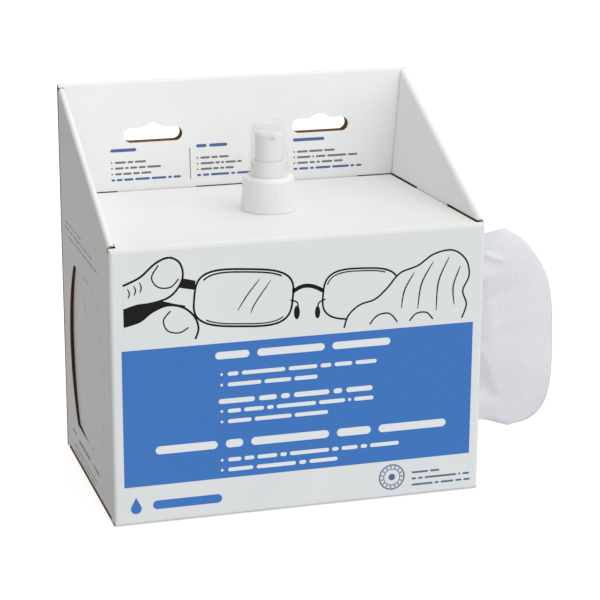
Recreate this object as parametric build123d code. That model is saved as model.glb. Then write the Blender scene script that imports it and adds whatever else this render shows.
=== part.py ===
from build123d import *
from math import atan2, cos, degrees, pi, radians, sin, tan
import os

# A corrugated-board lens cleaning station, in millimetres, +Z up. The origin is the centre of
# the base on the surface it stands on. The front faces -Y and the tissue comes out at +X.

# Carton, outside sizes
WIDTH = 216.0
DEPTH = 140.0
DECK_H = 160.0
BACK_H = 225.0
BOARD = 1.6
BEND_R = 2.4
FOLD_GAP = 0.8
LAYER_GAP = 0.1

# Liners that fold in over the back and over the sloping edges of the sides
BACK_TILT = 5.4
WING_TILT = 7.2
WING_FRONT_CUT = 3.1
LINER_LIFT = 0.8
BACK_LIFT = 0.5
WING_REAR_GAP = 0.5
TAB_DEPTH = 11.0
TAB_TAPER = 4.0
BACK_TAB_W = 48.0
BACK_TAB_PITCH = 102.0
BACK_LINER_INSET = 3.5
WING_TAB_FRONT = 45.0
WING_TAB_REAR = 90.0
DECK_SIDE_GAP = 0.8
DECK_TAB_GAP = 0.45
DECK_REAR_GAP = 0.6

# Hanging slots in the back
SLOT_PITCH = 104.0
SLOT_LEN = 35.5
SLOT_H = 8.5
SLOT_DROP = 32.2
SLOT_BUMP_W = 16.0
SLOT_BUMP_H = 2.8

# Tear-outs in the sides
TEAR_Y = 49.0
TEAR_Z = 49.6
TEAR_BOW_R = 79.0
TEAR_ROUND = 4.0
TEAR_CENTRE_Z = 75.6
TEAR_CUT = 0.3
CREASE_HALF = 0.2
CREASE_BEVEL = 0.6
TEAR_PUSHED_IN = 2.4

# Base and glued seam
FLAP_MID_GAP = 19.6
FLAP_CUT = 6.0
FLAP_TAPER = 8.0
TUCK_H = 36.0
GLUE_FLAP_W = 30.0
GLUE_FLAP_DROP = 20.0

# Bottle and neck
PUMP_Y = -4.0
BOTTLE_R = 37.5
BOTTLE_WALL = 1.2
SHOULDER_H = 30.0
NECK_H = 17.7
NECK_R = 12.7
NECK_WALL = 1.8
BEAD_OUT = 2.3
BEAD_H = 2.6
THREAD_H = 1.0
THREAD_ROOT = 1.5
THREAD_CREST = 0.9
THREAD_PITCH = 4.233
THREAD_TURNS = 1.5
THREAD_GAP = 0.3
FILL_DROP = 44.0
STAND_GAP = 0.05

# Closure and overcap
DECK_HOLE_GAP = 0.6
CLOSURE_WALL = 1.9
CLOSURE_TAPER = 1.1
CLOSURE_H = 19.5
CLOSURE_TOP = 1.55
RIB_COUNT = 72
RIB_GROOVE_R = 0.4
RIB_BAND = 1.8
CROWN_R = 10.2
CROWN_WALL = 2.1
CROWN_H = 9.0
OVERCAP_H = 31.2
OVERCAP_WALL = 1.4
OVERCAP_TOP_T = 0.9
OVERCAP_TAPER = 1.6
OVERCAP_RIM = 0.5
GRIP_GAP = 0.05

# Pump engine
FLANGE_T = 1.1
GASKET_T = 1.0
HOUSING_BORE_R = 4.5
HOUSING_WALL = 1.3
HOUSING_LEN = 29.0
RUN_GAP = 0.05
STEM_R = 2.0
STEM_BORE_R = 1.0
STEM_TOP = 19.0
PISTON_DROP = 11.0
PISTON_H = 4.0
STROKE = 5.5
BALL_R = 1.6
TUBE_R = 2.0
TUBE_BORE_R = 1.2
TUBE_SOCKET = 7.0
TUBE_FLOOR_GAP = 4.0
SPRING_WIRE_R = 0.4
SPRING_COILS = 7.0

# Actuator
ACTUATOR_GAP = 0.4
ACTUATOR_H = 19.0
ACTUATOR_LIFT = 6.4
ACTUATOR_WALL = 1.0
ACTUATOR_CAP = 5.4
POST_WALL = 1.6
INSERT_R = 2.2
INSERT_T = 2.0
JET_R = 0.4
SPRAY_BORE_R = 0.7

# Tissues
TISSUE_W = 127.0
TISSUE_FOLD = 101.0
STACK_SIDE_GAP = 8.9
STACK_BOTTLE_GAP = 2.0
STACK_EDGE_R = 3.0
PULLED_OUT = 76.0
PULLED_HALF_T = 6.0
PULLED_NECK_HALF = 47.6
PULLED_RISE = 4.4
PULLED_FOOT_HALF = 16.0
PULLED_FOOT_T = 3.0

# Derived levels
HALF_W = WIDTH / 2
HALF_D = DEPTH / 2
FOLD_OUT = BOARD + FOLD_GAP / 2
FOLD_IN = FOLD_GAP / 2
SLOPE = degrees(atan2(BACK_H - DECK_H, DEPTH))
FLAP_Z = BOARD + LAYER_GAP
FLOOR_Z = FLAP_Z + BOARD
DECK_UNDER = DECK_H - BOARD
BOTTLE_Z = FLOOR_Z + STAND_GAP
BEAD_TOP = DECK_UNDER - 0.2
NECK_TOP = BEAD_TOP + NECK_H
FLANGE_Z = NECK_TOP + GASKET_T + STAND_GAP
CLOSURE_INNER_Z = FLANGE_Z + FLANGE_T + STAND_GAP
CLOSURE_TOP_Z = CLOSURE_INNER_Z + CLOSURE_TOP
CLOSURE_Z = CLOSURE_TOP_Z - CLOSURE_H
CROWN_TOP_Z = CLOSURE_TOP_Z + CROWN_H
NECK_BORE_R = NECK_R - NECK_WALL
NECK_THREAD_R = NECK_R + THREAD_H
BEAD_R = NECK_R + BEAD_OUT
CLOSURE_BORE_R = NECK_THREAD_R + THREAD_GAP
CLOSURE_R = CLOSURE_BORE_R + CLOSURE_WALL
CLOSURE_TOP_R = CLOSURE_R - CLOSURE_TAPER
HOUSING_R = HOUSING_BORE_R + HOUSING_WALL
POST_R = STEM_R + POST_WALL
HOUSING_Z = FLANGE_Z + FLANGE_T - HOUSING_LEN
STEM_TOP_Z = CLOSURE_TOP_Z + STEM_TOP
PISTON_Z = FLANGE_Z + FLANGE_T - PISTON_DROP - PISTON_H
ACTUATOR_Z = CLOSURE_TOP_Z + ACTUATOR_LIFT
ACTUATOR_R = CROWN_R - CROWN_WALL - ACTUATOR_GAP
OVERCAP_R = CROWN_R + GRIP_GAP + OVERCAP_WALL
OVERCAP_TOP_R = OVERCAP_R - OVERCAP_TAPER
SLOT_Z = BACK_H - SLOT_DROP


def block(x0, x1, y0, y1, z0, z1):
    """A plain box from its limits."""
    body = Box(x1 - x0, y1 - y0, z1 - z0, align=(Align.MIN, Align.MIN, Align.MIN))
    return Pos(x0, y0, z0) * body


def plate_yz(points, x0, x1):
    """A plate cut to a (y, z) outline, between two x values."""
    face = Plane.YZ * make_face(Polyline(*points, close=True))
    return Pos(x0, 0, 0) * extrude(face, x1 - x0)


def plate_xz(points, y0, y1):
    """A plate cut to an (x, z) outline, between two y values."""
    face = Plane.XZ * make_face(Polyline(*points, close=True))
    return Pos(0, y1, 0) * extrude(face, y1 - y0)


def plate_xy(points, z0, z1):
    """A plate cut to an (x, y) outline, between two z values."""
    return Pos(0, 0, z0) * extrude(make_face(Polyline(*points, close=True)), z1 - z0)


def bend_bar(length, outer, inner, start, sweep):
    """A bend of board along +X: a sector of a ring round the X axis, angles from +Y to +Z."""
    ring = Circle(outer) - Circle(inner)
    reach = 3 * outer
    steps = [start + sweep * i / 4 for i in range(5)]
    fan = [(0, 0)] + [(reach * cos(radians(a)), reach * sin(radians(a))) for a in steps]
    sector = ring & make_face(Polyline(*fan, close=True))
    return extrude(Plane.YZ * sector, length)


def turned(points):
    """A solid turned round the Z axis from an (r, z) outline."""
    return revolve(Plane.XZ * make_face(Polyline(*points, close=True)), Axis.Z)


def at_pump(shape):
    """Moves a shape from the Z axis onto the pump's axis."""
    return Pos(0, PUMP_Y, 0) * shape


def slope_z(y):
    """Height of the sloping top edge of a side at a given y."""
    return DECK_H + (y + HALF_D) * tan(radians(SLOPE))


def back_face_y(z):
    """The front face of the back liner at a given height."""
    t = radians(BACK_TILT)
    top = BACK_H - FOLD_OUT + FOLD_OUT * sin(t)
    return HALF_D - FOLD_OUT - FOLD_OUT * cos(t) - tan(t) * (top - z)


def wing_face_x(y, z):
    """The distance from the middle to a wing liner's inner face."""
    a = radians(SLOPE)
    t = radians(WING_TILT)
    below = (y + HALF_D) * sin(a) - (z - DECK_H) * cos(a)
    return HALF_W - FOLD_OUT - FOLD_OUT * cos(t) - tan(t) * (below - FOLD_OUT + FOLD_OUT * sin(t))


def tearout_plug(x0, x1, inset):
    """The tear-out as a plug between two x values: bowed sides, straight top and bottom."""
    bow = Circle(TEAR_BOW_R - inset)
    shift = TEAR_BOW_R - TEAR_Y
    outline = (Pos(shift, 0) * bow) & (Pos(-shift, 0) * bow)
    outline = outline & Rectangle(4 * TEAR_Y, 2 * (TEAR_Z - inset))
    outline = fillet(outline.vertices(), TEAR_ROUND - inset)
    return Pos(x0, 0, TEAR_CENTRE_Z) * extrude(Plane.YZ * outline, x1 - x0)


def hang_slots():
    """Cutters for the two hanging slots, each with a bell-shaped rise in the middle."""
    half = SLOT_BUMP_W / 2
    foot = SLOT_H / 2
    mid = foot + SLOT_BUMP_H / 2
    rise = TangentArc((-half, foot), (-half / 2, mid), tangent=(1, 0))
    crest = ThreePointArc((-half / 2, mid), (0, foot + SLOT_BUMP_H), (half / 2, mid))
    fall = TangentArc((half, foot), (half / 2, mid), tangent=(-1, 0))
    base = Polyline((half, foot), (half, 0), (-half, 0), (-half, foot))
    bump = make_face((rise + crest + fall + base).edges())
    cutter = None
    for side in (-1, 1):
        outline = SlotOverall(SLOT_LEN, SLOT_H)
        slot = extrude(Plane.XZ * (outline + bump), 30, both=True)
        slot = Pos(side * SLOT_PITCH / 2, HALF_D - 5, SLOT_Z) * slot
        cutter = slot if cutter is None else cutter + slot
    return cutter


def make_front_panel():
    outer = RectangleRounded(WIDTH, DEPTH, BEND_R)
    inner = RectangleRounded(WIDTH - 2 * BOARD, DEPTH - 2 * BOARD, BEND_R - BOARD)
    tall = DECK_H - 2 * BEND_R
    wall = Pos(0, 0, BEND_R) * extrude(outer - inner, tall)
    return wall & block(-WIDTH, WIDTH, -DEPTH, -HALF_D + BEND_R, 0, DECK_H)


def make_side_panel(rear_y):
    """A side at -X, with its sloping top left one fold short."""
    front_y = -HALF_D + BEND_R
    drop = FOLD_OUT / cos(radians(SLOPE))
    flap_z = FLAP_Z + BEND_R
    flap_y0 = -HALF_D + BEND_R + FLAP_CUT
    flap_y1 = HALF_D - BEND_R - BOARD - FLAP_CUT
    points = [
        (front_y, FLAP_Z),
        (flap_y0, FLAP_Z),
        (flap_y0, flap_z),
        (flap_y1, flap_z),
        (flap_y1, FLAP_Z),
        (rear_y, FLAP_Z),
        (rear_y, slope_z(rear_y) - drop),
        (front_y, slope_z(front_y) - drop),
    ]
    panel = plate_yz(points, -HALF_W, -HALF_W + BOARD)
    return panel - tearout_plug(-HALF_W - 5, -HALF_W + 5, 0)


def make_back_panel():
    left = -HALF_W + 0.2
    right = HALF_W - BEND_R
    top = BACK_H - FOLD_OUT
    wall = block(left, right, HALF_D - BOARD, HALF_D, 0, top)
    corner = Circle(BEND_R) - Circle(BEND_R - BOARD)
    corner = corner & (Pos(BEND_R, BEND_R) * Rectangle(2 * BEND_R, 2 * BEND_R))
    bend_top = slope_z(HALF_D - BEND_R) - FOLD_OUT / cos(radians(SLOPE))
    bend = Pos(right, HALF_D - BEND_R, 0) * extrude(corner, bend_top)
    return wall + bend - hang_slots()


def make_glue_flap():
    outer_y = HALF_D - BOARD - LAYER_GAP
    z0 = FLOOR_Z + 2
    z1 = BACK_H - GLUE_FLAP_DROP
    corner = Circle(BEND_R) - Circle(BEND_R - BOARD)
    corner = corner & (Pos(-BEND_R, BEND_R) * Rectangle(2 * BEND_R, 2 * BEND_R))
    bend_x = -HALF_W + BEND_R
    bend = Pos(bend_x, outer_y - BEND_R, z0) * extrude(corner, z1 - z0)
    points = [
        (bend_x, z0),
        (bend_x + GLUE_FLAP_W, z0 + 10),
        (bend_x + GLUE_FLAP_W, z1 - 10),
        (bend_x, z1),
    ]
    return bend + plate_xz(points, outer_y - BOARD, outer_y)


def make_deck_panel():
    front = -HALF_D + BEND_R
    bend = bend_bar(WIDTH, BEND_R, BEND_R - BOARD, 90, 90)
    bend = Pos(-HALF_W, front, DECK_H - BEND_R) * bend
    bend = bend & extrude(RectangleRounded(WIDTH, DEPTH, BEND_R), BACK_H)
    cut_y = -HALF_D + WING_FRONT_CUT
    tab0 = -HALF_D + WING_TAB_FRONT - 0.5
    tab1 = -HALF_D + WING_TAB_REAR + 0.5
    rear = back_face_y(DECK_UNDER) - DECK_REAR_GAP
    right = [
        (HALF_W - BOARD - 0.2, front),
        (HALF_W - BOARD - 0.2, cut_y - 0.5),
        (wing_face_x(cut_y, DECK_H) - DECK_SIDE_GAP, cut_y - 0.5),
        (wing_face_x(tab0, DECK_H) - DECK_SIDE_GAP, tab0),
        (wing_face_x(tab0, DECK_H) - DECK_TAB_GAP, tab0),
        (wing_face_x(tab1, DECK_H) - DECK_TAB_GAP, tab1),
        (wing_face_x(tab1, DECK_H) - DECK_SIDE_GAP, tab1),
        (wing_face_x(rear, DECK_H) - DECK_SIDE_GAP, rear),
    ]
    left = [(-x, y) for x, y in reversed(right)]
    plate = plate_xy(right + left, DECK_UNDER, DECK_H)
    hole = at_pump(Pos(0, 0, DECK_H) * Cylinder(NECK_THREAD_R + DECK_HOLE_GAP, 10))
    return bend + plate - hole


def fold_over(length, down, tilt):
    """A doubled edge along +X: the fold, and the liner hanging from it towards -Y."""
    fold = bend_bar(length, FOLD_OUT, FOLD_IN, 0, 180 - tilt)
    leaf = block(0, length, FOLD_IN, FOLD_OUT, 0, down)
    leaf = Rot(180 - tilt, 0, 0) * leaf
    return fold + leaf


def make_back_liner():
    half = HALF_W - BACK_LINER_INSET
    wide = HALF_W - 0.4
    down = BACK_H - DECK_H + TAB_DEPTH
    sheet = fold_over(2 * wide, down, BACK_TILT)
    sheet = Pos(-wide, HALF_D - FOLD_OUT, BACK_H - FOLD_OUT) * sheet
    edge = DECK_H + BACK_LIFT
    low = DECK_H - TAB_DEPTH
    fold_z = BACK_H - FOLD_OUT
    points = [(-wide, BACK_H + 1), (-wide, fold_z), (-half, fold_z), (-half, edge)]
    for centre in (-BACK_TAB_PITCH / 2, BACK_TAB_PITCH / 2):
        points.append((centre - BACK_TAB_W / 2, edge))
        points.append((centre - BACK_TAB_W / 2, DECK_H - BOARD))
        points.append((centre - BACK_TAB_W / 2 + TAB_TAPER, low))
        points.append((centre + BACK_TAB_W / 2 - TAB_TAPER, low))
        points.append((centre + BACK_TAB_W / 2, DECK_H - BOARD))
        points.append((centre + BACK_TAB_W / 2, edge))
    points.append((half, edge))
    points.append((half, fold_z))
    points.append((wide, fold_z))
    points.append((wide, BACK_H + 1))
    sheet = sheet & plate_xz(points, 0, DEPTH)
    return sheet - hang_slots()


def make_wing_liner():
    """The liner of the side at -X."""
    slant = (DEPTH / cos(radians(SLOPE))) + 20
    down = BACK_H - DECK_H + TAB_DEPTH + 20
    sheet = fold_over(slant, down, WING_TILT)
    # The fold's own X runs up the slope and its -Y faces the middle of the carton.
    along = Vector(0, cos(radians(SLOPE)), sin(radians(SLOPE)))
    up = Vector(0, -sin(radians(SLOPE)), cos(radians(SLOPE)))
    start = Vector(-HALF_W + FOLD_OUT, -HALF_D, DECK_H) - up * FOLD_OUT - along * 10
    sheet = Plane(origin=start, x_dir=along, z_dir=up) * sheet
    cut_y = -HALF_D + WING_FRONT_CUT
    edge = DECK_H + LINER_LIFT
    high = BACK_H + 20
    gap = WING_REAR_GAP
    tab0 = -HALF_D + WING_TAB_FRONT
    tab1 = -HALF_D + WING_TAB_REAR
    points = [
        (cut_y, edge),
        (tab0, edge),
        (tab0, DECK_UNDER),
        (tab0 + TAB_TAPER, DECK_H - TAB_DEPTH),
        (tab1 - TAB_TAPER, DECK_H - TAB_DEPTH),
        (tab1, DECK_UNDER),
        (tab1, edge),
        (back_face_y(edge) - gap, edge),
        (back_face_y(BACK_H) - gap, BACK_H),
        (back_face_y(BACK_H) - gap, high),
        (cut_y, high),
    ]
    over_side = block(-WIDTH, -HALF_W + FOLD_OUT, cut_y, 0, DECK_UNDER, high)
    return sheet & (plate_yz(points, -WIDTH, 0) + over_side)


def make_bottom_panel():
    front = -HALF_D + BEND_R
    rear = HALF_D - 2 * BOARD - 3 * LAYER_GAP - BEND_R
    half = HALF_W - 0.4
    front_bend = bend_bar(2 * half, BEND_R, BEND_R - BOARD, 180, 90)
    rear_bend = bend_bar(2 * half, BEND_R, BEND_R - BOARD, 270, 90)
    panel = block(-half, half, front, rear, 0, BOARD)
    tuck_y = rear + BEND_R - BOARD
    tuck_half = half - BOARD - 1
    tuck = [
        (-tuck_half, BEND_R),
        (tuck_half, BEND_R),
        (tuck_half - 12, TUCK_H),
        (-tuck_half + 12, TUCK_H),
    ]
    rear_bend = rear_bend & block(0, 2 * half, -9, 9, -9, 9)
    panel = panel + Pos(-half, front, BEND_R) * front_bend
    rear_bend = (Pos(-half, rear, BEND_R) * rear_bend) & block(-tuck_half, tuck_half, 0, DEPTH, 0, 9)
    return panel + rear_bend + plate_xz(tuck, tuck_y, tuck_y + BOARD)


def make_dust_flap():
    """The floor flap folded in from the side at -X."""
    y0 = -HALF_D + BEND_R + FLAP_CUT + 0.2
    y1 = HALF_D - BEND_R - BOARD - FLAP_CUT - 0.2
    x0 = -HALF_W + BEND_R
    x1 = -FLAP_MID_GAP
    bend = bend_bar(y1 - y0, BEND_R, BEND_R - BOARD, 270, 90)
    bend = Rot(0, 0, 90) * bend
    bend = Pos(x0, y0, FLAP_Z + BEND_R) * bend
    points = [
        (x0, y0),
        (x1 - FLAP_TAPER, y0),
        (x1, y0 + FLAP_TAPER),
        (x1, y1 - FLAP_TAPER),
        (x1 - FLAP_TAPER, y1),
        (x0, y1),
    ]
    return bend + plate_xy(points, FLAP_Z, FLOOR_Z)


def make_tearout(side):
    """Half of the left tear-out: side is -1 for the front half and 1 for the rear half."""
    plug = tearout_plug(-HALF_W, -HALF_W + BOARD, TEAR_CUT)
    near = side * CREASE_HALF
    far = side * (CREASE_HALF + CREASE_BEVEL)
    keep = [(-HALF_W, near), (-HALF_W + BOARD, far), (-HALF_W + BOARD, side * DEPTH), (-HALF_W, side * DEPTH)]
    return plug & plate_xy(keep, 0, DECK_H)


def make_tearout_rear():
    """The rear half, pushed in about the crease down the middle."""
    half = make_tearout(1)
    about = Pos(-HALF_W, 0, 0)
    return about * Rot(0, 0, -TEAR_PUSHED_IN) * about.inverse() * half


def shoulder_arc(r_low, z_low, r_high, z_high):
    """The rounded shoulder of the bottle, from the body up to the neck."""
    mid_r = r_high + (r_low - r_high) * cos(pi / 4)
    mid_z = z_low + (z_high - z_low) * sin(pi / 4)
    return ThreePointArc((r_low, z_low), (mid_r, mid_z), (r_high, z_high))


def thread_ridge(root_r, crest_r, z_mid, turns):
    """One helical ridge, running out from root_r to crest_r."""
    path = Helix(THREAD_PITCH, THREAD_PITCH * turns, root_r)
    out = 1 if crest_r > root_r else -1
    bite = -0.15 * out
    tall = abs(crest_r - root_r) * out
    outline = Polyline(
        (bite, -THREAD_ROOT / 2),
        (tall, -THREAD_CREST / 2),
        (tall, THREAD_CREST / 2),
        (bite, THREAD_ROOT / 2),
        close=True,
    )
    start = Plane(origin=(root_r, 0, 0), x_dir=(1, 0, 0), z_dir=(0, -1, 0))
    ridge = sweep(start * make_face(outline), path=path, is_frenet=True)
    return Pos(0, 0, z_mid) * ridge


def make_bottle():
    z0 = BOTTLE_Z
    body_top = BEAD_TOP - BEAD_H - SHOULDER_H
    neck_low = BEAD_TOP - BEAD_H
    foot = 3.5
    wall = BOTTLE_WALL
    outer = Curve() + [
        Line((0, z0), (BOTTLE_R - foot, z0)),
        ThreePointArc((BOTTLE_R - foot, z0), (BOTTLE_R - 1.0, z0 + 1.0), (BOTTLE_R, z0 + foot)),
        Line((BOTTLE_R, z0 + foot), (BOTTLE_R, body_top)),
        shoulder_arc(BOTTLE_R, body_top, BEAD_R, neck_low),
        Line((BEAD_R, neck_low), (BEAD_R, BEAD_TOP)),
        Line((BEAD_R, BEAD_TOP), (NECK_R, BEAD_TOP)),
        Line((NECK_R, BEAD_TOP), (NECK_R, NECK_TOP)),
        Line((NECK_R, NECK_TOP), (NECK_BORE_R, NECK_TOP)),
        Line((NECK_BORE_R, NECK_TOP), (NECK_BORE_R, neck_low)),
        shoulder_arc(BOTTLE_R - wall, body_top, NECK_BORE_R, neck_low),
        Line((BOTTLE_R - wall, body_top), (BOTTLE_R - wall, z0 + foot)),
        Line((BOTTLE_R - wall, z0 + foot), (BOTTLE_R - foot, z0 + wall)),
        Line((BOTTLE_R - foot, z0 + wall), (0, z0 + wall)),
        Line((0, z0 + wall), (0, z0)),
    ]
    shell = revolve(Plane.XZ * make_face(outer), Axis.Z)
    ridge_low = NECK_TOP - 2.4 - THREAD_PITCH * THREAD_TURNS
    ridge = thread_ridge(NECK_R, NECK_THREAD_R, ridge_low, THREAD_TURNS)
    return at_pump(shell + ridge)


def make_fluid():
    z0 = BOTTLE_Z + BOTTLE_WALL + STAND_GAP
    top = DECK_H - FILL_DROP
    inner = BOTTLE_R - BOTTLE_WALL - STAND_GAP
    foot = 3.5
    hole = TUBE_R + RUN_GAP
    points = [
        (0, z0),
        (inner - foot, z0),
        (inner, z0 + foot),
        (inner, top),
        (hole, top),
        (hole, z0 + TUBE_FLOOR_GAP - 0.5),
        (0, z0 + TUBE_FLOOR_GAP - 0.5),
    ]
    return at_pump(turned(points))


def make_closure():
    z0 = CLOSURE_Z
    z1 = CLOSURE_TOP_Z
    crown_in = CROWN_R - CROWN_WALL
    points = [
        (CLOSURE_BORE_R, z0),
        (CLOSURE_R, z0),
        (CLOSURE_R, z0 + 1.2),
        (CLOSURE_TOP_R, z1 - 1.6),
        (CLOSURE_TOP_R - 0.5, z1 - 0.5),
        (CLOSURE_TOP_R - 1.6, z1),
        (CROWN_R, z1),
        (CROWN_R, CROWN_TOP_Z - 0.4),
        (CROWN_R - 0.4, CROWN_TOP_Z),
        (crown_in, CROWN_TOP_Z),
        (crown_in, z1),
        (STEM_R + 1.2, z1),
        (STEM_R + 1.2, CLOSURE_INNER_Z),
        (CLOSURE_BORE_R, CLOSURE_INNER_Z),
    ]
    body = turned(points)
    fall = CLOSURE_R - CLOSURE_TOP_R
    tall = z1 - 1.6 - (z0 + 1.2)
    lean = degrees(atan2(fall, tall))
    groove = Rot(0, -lean, 0) * Cylinder(RIB_GROOVE_R, tall - RIB_BAND)
    mid_r = (CLOSURE_R + CLOSURE_TOP_R) / 2 + 0.05
    mid_z = (z0 + 1.2 + z1 - 1.6) / 2 + RIB_BAND / 4
    groove = Pos(mid_r, 0, mid_z) * groove
    grooves = [Rot(0, 0, 360 * i / RIB_COUNT) * groove for i in range(RIB_COUNT)]
    body = body - grooves
    ridge_low = NECK_TOP - 2.4 - THREAD_PITCH * THREAD_TURNS - THREAD_PITCH / 2
    minor = NECK_R + THREAD_GAP
    ridge = thread_ridge(CLOSURE_BORE_R, minor, ridge_low, THREAD_TURNS)
    return at_pump(body + ridge)


def make_gasket():
    ring = Cylinder(NECK_R - 0.2, GASKET_T) - Cylinder(HOUSING_R + 0.5, 2 * GASKET_T)
    return at_pump(Pos(0, 0, NECK_TOP + STAND_GAP / 2 + GASKET_T / 2) * ring)


def make_housing():
    top = FLANGE_Z + FLANGE_T
    low = HOUSING_Z
    socket_low = low - 4 - TUBE_SOCKET
    points = [
        (NECK_R - 0.4, top),
        (NECK_R - 0.4, FLANGE_Z),
        (HOUSING_R, FLANGE_Z),
        (HOUSING_R, low),
        (TUBE_R + 1.4, low - 3),
        (TUBE_R + 1.4, socket_low),
        (TUBE_R + RUN_GAP, socket_low),
        (TUBE_R + RUN_GAP, low - 4),
        (TUBE_BORE_R, low - 4),
        (TUBE_BORE_R, low - 2.5),
        (TUBE_BORE_R + 1.4, low - 0.5),
        (TUBE_BORE_R + 1.4, low + 0.5),
        (HOUSING_BORE_R, low + 0.5),
        (HOUSING_BORE_R, top),
    ]
    return at_pump(turned(points))


def make_retainer():
    top = FLANGE_Z + FLANGE_T
    low = PISTON_Z + PISTON_H + 0.6
    tall = top - low
    ring = Cylinder(HOUSING_BORE_R - 0.02, tall) - Cylinder(STEM_R + RUN_GAP, 2 * tall)
    return at_pump(Pos(0, 0, low + tall / 2) * ring)


def make_stem():
    low = PISTON_Z
    tall = STEM_TOP_Z - low
    tube = Cylinder(STEM_R, tall) - Cylinder(STEM_BORE_R, 2 * tall)
    return at_pump(Pos(0, 0, low + tall / 2) * tube)


def make_piston():
    outer = HOUSING_BORE_R - RUN_GAP
    inner = STEM_R + 0.01
    low = PISTON_Z
    top = PISTON_Z + PISTON_H
    points = [
        (inner, low),
        (outer, low),
        (outer, low + 1.2),
        (outer - 1, low + 1.8),
        (outer - 1, top - 1.8),
        (outer, top - 1.2),
        (outer, top),
        (inner, top),
    ]
    return at_pump(turned(points))


def make_spring():
    low = HOUSING_Z + 0.5 + SPRING_WIRE_R + 0.05
    tall = PISTON_Z - low - SPRING_WIRE_R - 0.05
    coil_r = HOUSING_BORE_R - SPRING_WIRE_R - 0.3
    path = Helix(tall / SPRING_COILS, tall, coil_r)
    start = Plane(origin=path @ 0, z_dir=path % 0)
    coil = sweep(start * Circle(SPRING_WIRE_R), path=path, is_frenet=True)
    return at_pump(Pos(0, 0, low) * coil)


def make_ball():
    lean = atan2(1.4, 2.0)
    rise = (BALL_R + RUN_GAP - TUBE_BORE_R * cos(lean)) / sin(lean)
    return at_pump(Pos(0, 0, HOUSING_Z - 2.5 + rise) * Sphere(BALL_R))


def make_dip_tube():
    top = HOUSING_Z - 4 - 0.1
    low = BOTTLE_Z + BOTTLE_WALL + TUBE_FLOOR_GAP
    tall = top - low
    tube = Cylinder(TUBE_R, tall) - Cylinder(TUBE_BORE_R, 2 * tall)
    return at_pump(Pos(0, 0, low + tall / 2) * tube)


def make_actuator():
    z0 = ACTUATOR_Z
    z1 = ACTUATOR_Z + ACTUATOR_H
    under = z1 - ACTUATOR_CAP
    skirt_in = ACTUATOR_R - ACTUATOR_WALL
    socket_z = STEM_TOP_Z + 0.1
    points = [
        (STEM_R + 0.03, z0 + 4),
        (POST_R, z0 + 4),
        (POST_R, under),
        (skirt_in, under),
        (skirt_in, z0),
        (ACTUATOR_R, z0),
        (ACTUATOR_R, z1 - 1.2),
        (ACTUATOR_R - 1.2, z1),
        (ACTUATOR_R - 2.6, z1),
        (0, z1 - 0.8),
        (0, socket_z),
        (STEM_R + 0.03, socket_z),
    ]
    body = turned(points)
    jet_z = under + ACTUATOR_CAP / 2
    rise = Pos(0, 0, (socket_z + jet_z) / 2) * Cylinder(SPRAY_BORE_R, jet_z - socket_z + 0.2)
    across = Pos(0, -ACTUATOR_R / 2, jet_z) * (Rot(90, 0, 0) * Cylinder(SPRAY_BORE_R, ACTUATOR_R))
    seat_y = -ACTUATOR_R + INSERT_T
    seat = Rot(90, 0, 0) * Cylinder(INSERT_R, 10, align=(Align.CENTER, Align.CENTER, Align.MIN))
    seat = Pos(0, seat_y, jet_z) * seat
    return at_pump(body - rise - across - seat)


def make_nozzle_insert():
    jet_z = ACTUATOR_Z + ACTUATOR_H - ACTUATOR_CAP / 2
    disc = Cylinder(INSERT_R - 0.02, INSERT_T - 0.3) - Cylinder(JET_R, 2 * INSERT_T)
    disc = disc - Pos(0, 0, INSERT_T / 2 - 0.15) * Cone(JET_R, JET_R * 3, 0.8)
    disc = Rot(90, 0, 0) * disc
    mid_y = -ACTUATOR_R + INSERT_T - INSERT_T / 2 + 0.15 - 0.02
    return at_pump(Pos(0, mid_y, jet_z) * disc)


def make_overcap():
    z0 = CLOSURE_TOP_Z + STAND_GAP
    z1 = z0 + OVERCAP_H
    grip = CROWN_R + GRIP_GAP
    grip_top = CROWN_TOP_Z + 0.5
    points = [
        (grip, z0),
        (OVERCAP_R, z0),
        (OVERCAP_R, z0 + 1.0),
        (OVERCAP_TOP_R, z1 - 0.6),
        (OVERCAP_TOP_R - 0.6, z1),
        (OVERCAP_TOP_R - 1.6, z1),
        (OVERCAP_TOP_R - 1.6, z1 - OVERCAP_RIM),
        (0, z1 - OVERCAP_RIM),
        (0, z1 - OVERCAP_RIM - OVERCAP_TOP_T),
        (OVERCAP_TOP_R - OVERCAP_WALL, z1 - OVERCAP_RIM - OVERCAP_TOP_T),
        (grip, grip_top),
    ]
    return at_pump(turned(points))


def make_stack():
    """The stack of folded tissues on the -X side."""
    x0 = -HALF_W + BOARD + STACK_SIDE_GAP
    x1 = -BOTTLE_R - STACK_BOTTLE_GAP
    z0 = BOTTLE_Z
    half = TISSUE_FOLD / 2
    stack = block(x0, x1, -half, half, z0, z0 + TISSUE_W)
    edges = stack.edges().filter_by(Axis.Z)
    return fillet(edges, STACK_EDGE_R)


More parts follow.
